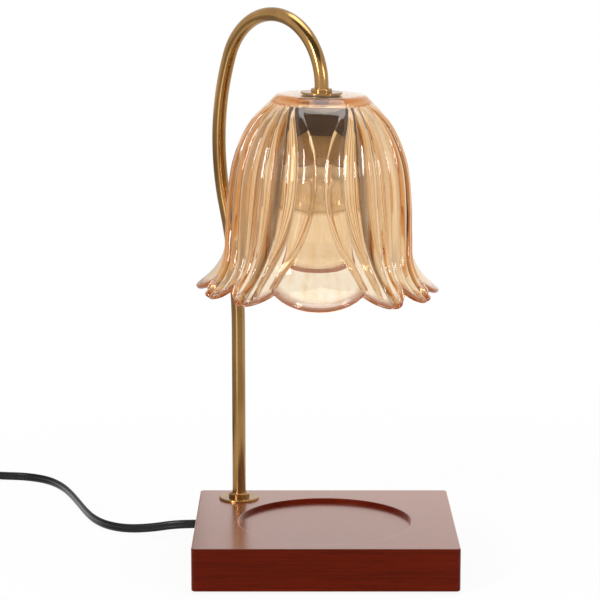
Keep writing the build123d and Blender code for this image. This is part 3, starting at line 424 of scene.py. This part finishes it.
half_petal = [(i / rib_columns, 0.0) for i in range(rib_columns)]
half_petal += [(1.0, i / lobe_columns) for i in range(lobe_columns)]
pattern = [(-1, *place) for place in reversed(half_petal[1:] + [(1.0, 1.0)])]
pattern += [(1, *place) for place in half_petal]
shade_columns = [shade_column(petal, *place) for petal in range(petals) for place in pattern]
shade_glass = grid_piece("shade_glass", shade_columns, amber_glass, "base")
first_edge = top_rows + outside_rows
rim_marks, groove_shade_marks = [], []
for side, across, lobe in pattern * petals:
    # Painted shade marks: dark in the grooves and between the ribs, fading where the ribs stand out less
    dark = min(1.9 * groove_mark(across) + 0.3 * valley_mark(across), 1.0) if lobe == 0 else 0.0
    for row in range(len(shade_columns[0])):
        off_edge = abs(row - first_edge - edge_steps / 2) - edge_steps / 2
        rim_marks.append(min(max(1 - off_edge / 2, 0.0), 1.0))
        drop = (row - top_rows) / outside_rows
        on_outside = top_rows < row <= first_edge
        groove_shade_marks.append(dark * smooth_between(shade_level_shares, drop, 3) if on_outside else 0.0)
for name, marks in (("rim_edge", rim_marks), ("groove", groove_shade_marks)):
    shade_glass.data.attributes.new(name, "FLOAT", "POINT").data.foreach_set("value", marks)
# The shade hangs from the neck's end, which bends a little past upright
head_upright = Vector((0, 0, 0.27738))
head_point = Vector((-0.002272, 0.002272, 0.276359))
head_tilt = Matrix.Rotation(math.radians(1.5), 4, Vector((1, 1, 0)))
shade_glass.data.transform(Matrix.Translation(head_point) @ head_tilt @ Matrix.Translation(-head_upright))
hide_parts("glass_shade")


# Inside the shade: soft clear gaskets each side of the glass, and a spun brass cup, toned dark, over the lamp
# holder. A bent steel bracket and a nut on the tube's end carry the holder, of ceramic painted mid brown for the
# shade it sits in.
clear_silicone = Finish("clear_silicone", Transmission_Weight=0.6, IOR=1.42)
silicone_haze = clear_silicone.noise(clear_silicone.place(), 900)
clear_silicone.set(
    Base_Color=clear_silicone.ramp(silicone_haze, (0.3, srgb("d9d6cf")), (0.7, srgb("ece9e3"))),
    Roughness=0.3 + silicone_haze * 0.2,
)
dress(clear_silicone, "upper_gasket", "lower_gasket")
dark_bronze = Finish("dark_bronze", Metallic=1.0)
bronze_tone = dark_bronze.noise(dark_bronze.place((1, 1, 0.2)), 160, detail=4)
dark_bronze.set(
    Base_Color=dark_bronze.ramp(bronze_tone, (0.3, srgb("2e2014")), (0.7, srgb("4c3824"))),
    Roughness=0.16 + bronze_tone * 0.12,
)
dress(dark_bronze, "holder_cup")
dress(steel, "holder_bracket", "holder_contacts")

# Painted shade: the holder's ceramic is coloured darker brown for the dim light inside the shade
shade_darkened_ceramic = Finish("shade_darkened_ceramic", Specular_IOR_Level=0.5)
glaze = shade_darkened_ceramic.noise(shade_darkened_ceramic.place(), 600, detail=4)
shade_darkened_ceramic.set(
    Base_Color=shade_darkened_ceramic.ramp(glaze, (0.3, srgb("8f7552")), (0.7, srgb("a38860"))),
    Roughness=0.35 + glaze * 0.2,
    Normal=shade_darkened_ceramic.bump(glaze, 0.00005),
)
dress(shade_darkened_ceramic, "lamp_holder")


# The bulb: a twist-lock heat bulb of pressed glass with a frosted base, a thinly coated reflector, a front
# lens and a small capsule. Its two pins turn into the holder's slots.
dress(steel, "bulb_pins")

coated_glass = Finish("coated_glass", Transmission_Weight=0.9, IOR=1.47)
coat_marks = coated_glass.noise(coated_glass.place(), 350, detail=3)
coated_glass.set(
    Base_Color=coated_glass.ramp(coat_marks, (0.3, srgb("f3ead9")), (0.7, srgb("fbf6ec"))),
    Roughness=0.02 + coat_marks * 0.05,
)
dress(coated_glass, "bulb_reflector")

frosted_glass = Finish("frosted_glass", Transmission_Weight=0.8, IOR=1.3)
frost = frosted_glass.noise(frosted_glass.place(), 1400)
frosted_glass.set(
    Base_Color=frosted_glass.ramp(frost, (0.3, srgb("ece4d6")), (0.7, srgb("f6f0e6"))),
    Roughness=0.3 + frost * 0.2,
)
dress(frosted_glass, "bulb_base")

clear_glass = Finish("clear_glass", Transmission_Weight=1.0, IOR=1.47)
glass_marks = clear_glass.noise(clear_glass.place(), 500)
clear_glass.set(
    Base_Color=clear_glass.ramp(glass_marks, (0.3, srgb("f4f4f2")), (0.7, srgb("ffffff"))),
    Roughness=0.01 + glass_marks * 0.03,
)
dress(clear_glass, "bulb_lens", "bulb_capsule")


# The supply cord: a flat black two-core lead in glossy vinyl, moulded with a groove between its cores.
# It leaves the base's left side, bends down to the table and runs off behind; the rest is wound up and tied.
cord_width, cord_thickness = 0.0053, 0.0027
cord_floor = cord_width / 2
lead_route = [
    (-0.075, 0.056, 0.0085),
    (-0.0885, 0.056, 0.0085),
    (-0.1045, 0.0605, 0.0048),
    (-0.120, 0.066, cord_floor),
    (-0.133, 0.074, cord_floor),
    (-0.142, 0.088, cord_floor),
    (-0.1485, 0.105, cord_floor),
    (-0.155, 0.126, cord_floor),
    (-0.162, 0.148, cord_floor),
    (-0.170, 0.1685, cord_floor),
    (-0.181, 0.1855, cord_floor),
    (-0.197, 0.195, cord_floor),
    (-0.2145, 0.1945, 0.0032),
    (-0.230, 0.190, 0.006),
    (-0.2456, 0.190, 0.006),
]
link_route = [
    (-0.2924, 0.190, 0.006),
    (-0.306, 0.190, 0.006),
    (-0.320, 0.1844, 0.0046),
    (-0.3304, 0.174, 0.0036),
    (-0.336, 0.160, 0.00355),
    (-0.336, 0.143, 0.00355),
]
tail_route = [
    (-0.336, 0.100, 0.00935),
    (-0.336, 0.087, 0.00935),
    (-0.337, 0.073, 0.0062),
    (-0.337, 0.0595, 0.0052),
    (-0.336, 0.0465, 0.007),
    (-0.336, 0.033, 0.007),
]
coil_middle = Vector((-0.294, 0.110, 0.00355))
coil_radius, coil_pitch, layer_pitch = 0.042, 0.0068, 0.0058
turns_per_layer, climb_turns = 2.75, 0.5
points_per_turn = 16
coil_turns = 2 * turns_per_layer + climb_turns


def coil_point(turn):
    """The cord's middle after a number of turns: in on the lower layer, up, and out on the upper one."""
    wound_in = min(turn, turns_per_layer)
    climbed = min(max((turn - turns_per_layer) / climb_turns, 0), 1)
    wound_out = max(turn - turns_per_layer - climb_turns, 0)
    radius = coil_radius - coil_pitch * (wound_in - wound_out)
    height = layer_pitch * climbed * climbed * (3 - 2 * climbed)
    angle = math.pi * (1 + 2 * turn)
    return coil_middle + Vector((radius * math.cos(angle), radius * math.sin(angle), height))


coil_count = round(coil_turns * points_per_turn)
coil_route = [coil_point(i * coil_turns / coil_count) for i in range(coil_count + 1)]


def smooth_path(name, points):
    """Points along a smooth line that follows a route."""
    route_curve = bpy.data.curves.new(name, "CURVE")
    route_curve.dimensions = "3D"
    route_curve.resolution_u = 6
    spline = route_curve.splines.new("NURBS")
    spline.points.add(len(points) - 1)
    for control, point in zip(spline.points, points):
        control.co = (*point, 1.0)
    spline.order_u = 3
    spline.use_endpoint_u = True
    route = bpy.data.objects.new(name, route_curve)
    bpy.context.collection.objects.link(route)
    path = [vertex.co.copy() for vertex in bpy.data.meshes.new_from_object(route).vertices]
    bpy.data.objects.remove(route)
    return path


def cord_section(half_width, half_thickness, groove, steps):
    """The outline of two cores side by side with a groove between them."""
    outline = []
    for i in range(steps):
        turn = 2 * math.pi * i / steps
        across = math.cos(turn)
        waist = 1 - groove * math.exp(-((across / 0.22) ** 2))
        side = abs(math.sin(turn)) ** 0.75 * math.copysign(1, math.sin(turn))
        outline.append((half_width * across, half_thickness * side * waist))
    return outline


def along(points, index):
    return (points[min(index + 1, len(points) - 1)] - points[max(index - 1, 0)]).normalized()


black_cord = Finish("black_cord", Specular_IOR_Level=0.3)
vinyl = black_cord.noise(black_cord.place(), 500, detail=3)
black_cord.set(
    Base_Color=black_cord.ramp(vinyl, (0.3, srgb("080707")), (0.7, srgb("131111"))),
    Roughness=0.20 + vinyl * 0.15,
    Normal=black_cord.bump(vinyl, 0.00006),
)
cord_outline = cord_section(cord_width / 2, cord_thickness / 2, 0.35, 28)


def flat_cord(name, path):
    """A flat cord that stands on its edge along a path."""
    loops = []
    for index, point in enumerate(path):
        heading = along(path, index)
        side = heading.cross(Vector((0, 0, 1))).normalized()
        upright = side.cross(heading)
        loops.append([point + upright * a + side * b for a, b in cord_outline])
    return grid_piece(name, loops, black_cord, "base", wrap=False)


lead_path = smooth_path("lead_route", lead_route)
plug_path = smooth_path("plug_route", link_route + coil_route + tail_route)
lead_cord = flat_cord("lead_cord", lead_path)
plug_cord = flat_cord("plug_cord", plug_path)
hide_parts("cord_lead")
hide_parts("cord_link", "cord_coil", "cord_tail")
dress(black_cord, "cord_inner", "inner_cable")


# On the cord: an in-line dimmer of two moulded shells with a turning knob, a rubber tie round the coil, and a
# moulded plug with two plated blades. The board and the wire caps are hidden inside.
black_plastic = Finish("black_plastic", Specular_IOR_Level=0.45)
spark = black_plastic.noise(black_plastic.place(), 2200, detail=2)
black_plastic.set(
    Base_Color=black_plastic.ramp(spark, (0.3, srgb("151515")), (0.7, srgb("222121"))),
    Roughness=0.42 + spark * 0.2,
    Normal=black_plastic.bump(spark, 0.00006),
)
dress(steel, "dimmer_screws", "plug_blades")
dress(black_plastic, "dimmer_lower_shell", "dimmer_upper_shell", "dimmer_knob", "plug_body", "dimmer_pot")

circuit_board = Finish("circuit_board", Specular_IOR_Level=0.5)
board_weave = circuit_board.noise(circuit_board.place(), 1200)
circuit_board.set(
    Base_Color=circuit_board.ramp(board_weave, (0.3, srgb("1c4a2a")), (0.7, srgb("2a6338"))),
    Roughness=0.4 + board_weave * 0.2,
)
dress(circuit_board, "dimmer_board")

nylon_cap = Finish("nylon_cap", Specular_IOR_Level=0.45)
nylon = nylon_cap.noise(nylon_cap.place(), 800)
nylon_cap.set(
    Base_Color=nylon_cap.ramp(nylon, (0.3, srgb("cfcac0")), (0.7, srgb("e2ded6"))),
    Roughness=0.4 + nylon * 0.2,
)
dress(nylon_cap, "wire_connectors")


# The table: a plain white floor that keeps the object's soft shadow, under a white studio.
floor_size = 6.0
floor_glow = 0.92
fade_start, fade_end = 0.15, 0.55
floor_mesh = bpy.data.meshes.new("studio_floor")
floor_mesh.from_pydata(
    [(x * floor_size, y * floor_size, 0.0) for x, y in ((-1, -1), (1, -1), (1, 1), (-1, 1))], [], [(0, 1, 2, 3)]
)
floor = bpy.data.objects.new("studio_floor", floor_mesh)
bpy.context.collection.objects.link(floor)
floor_white = Finish("floor_white", Base_Color=(0.9, 0.9, 0.9, 1.0), Roughness=0.9, Specular_IOR_Level=0.0)
floor_mesh.materials.append(floor_white.material)
away = floor_white.node("ShaderNodeVectorMath", {"operation": "LENGTH"}, {0: floor_white.place()}, output="Value")
far = floor_white.mask(away, fade_start, fade_end)
whiteness = floor_white.background_ray() * (floor_glow + far * (1 - floor_glow))
floor_white.blend(whiteness, floor_white.glow((1.0, 1.0, 1.0), 1.0))

studio = bpy.data.worlds.new("white_studio")
bpy.context.scene.world = studio
studio.use_nodes = True
sky = Shading(studio.node_tree)
sky_steps = {"Value": sky.background_ray(), "To Min": 0.35, "To Max": 1.0}
sky_strength = sky.node("ShaderNodeMapRange", {}, sky_steps)
sky.feed(studio.node_tree.nodes["Background"], {"Color": (1.0, 1.0, 1.0, 1.0), "Strength": sky_strength})


# The lamps: small soft boxes left and right of the camera and a wide one above. Screens round the object and
# over the camera give the brass its light and dark bands, and are seen in reflections only. A warm card
# left of the shade gives its ribs their darker streaks, and is seen through glass only.
aim = Vector((0, 0, 0.17))


def facing(place):
    return (aim - place).to_track_quat("-Z", "Y")


def soft_box(name, place, width, height, watts):
    lamp = bpy.data.lights.new(name, "AREA")
    lamp.shape, lamp.size, lamp.size_y, lamp.energy = "RECTANGLE", width, height, watts
    stand = bpy.data.objects.new(name, lamp)
    stand.location = Vector(place)
    stand.rotation_mode = "QUATERNION"
    stand.rotation_quaternion = facing(Vector(place))
    stand.visible_camera = False
    bpy.context.collection.objects.link(stand)


soft_box("left_box", (-0.85, -1.05, 0.72), 0.25, 0.6, 11)
soft_box("right_box", (1.1, -0.85, 0.65), 0.15, 0.35, 4)
soft_box("top_box", (0.1, 0.1, 1.5), 0.9, 0.9, 10)


warm_card = (1.0, 0.83, 0.68)


def screen(name, rows, glow, through_glass=False):
    """A screen of two rows of points that glows evenly, seen in reflections or else through glass."""
    mesh = bpy.data.meshes.new(name)
    count = len(rows[0])
    faces = [(i, i + 1, count + i + 1, count + i) for i in range(count - 1)]
    mesh.from_pydata(rows[0] + rows[1], [], faces)
    finish = Finish(name)
    mesh.materials.append(finish.material)
    finish.blend(1.0, finish.glow(warm_card if through_glass else (1.0, 1.0, 1.0), glow))
    piece = bpy.data.objects.new(name, mesh)
    piece.visible_camera = piece.visible_diffuse = piece.visible_shadow = False
    piece.visible_glossy, piece.visible_transmission = not through_glass, through_glass
    bpy.context.collection.objects.link(piece)


screen_radius, screen_height, card_height = 0.35, 0.24, 0.45


def round_screen(name, start, end, glow, through_glass=False):
    """An upright screen between two bearings, in degrees to the right of the camera."""
    bearings = [math.radians(start + (end - start) * i / 24) for i in range(25)]
    edge = [(screen_radius * math.sin(b), -screen_radius * math.cos(b)) for b in bearings]
    top = card_height if through_glass else screen_height
    screen(name, [[(x, y, z) for x, y in edge] for z in (0.0, top)], glow, through_glass)


round_screen("left_screen", -165, -52, 0.5)
round_screen("left_strip", -44, -30, 2.4)
round_screen("front_screen", -30, 75, 0.58)
round_screen("left_card", -148, -85, 0.55, through_glass=True)
over_camera = [[(x, y, 1.1) for x in (-0.9, 0.9)] for y in (-1.5, -0.15)]
screen("upper_screen", over_camera, 0.15)


# The camera: level with the shade's middle, looking slightly down, with a long lens.
lens = bpy.data.cameras.new("front_camera")
lens.lens, lens.sensor_width = 136.4, 36.0
camera = bpy.data.objects.new("front_camera", lens)
camera.location = (-0.0144, -1.2773, 0.3781)
camera.rotation_euler = (math.radians(80.13), 0, 0)
bpy.context.collection.objects.link(camera)
bpy.context.scene.camera = camera
bpy.context.scene.view_settings.view_transform = "Standard"
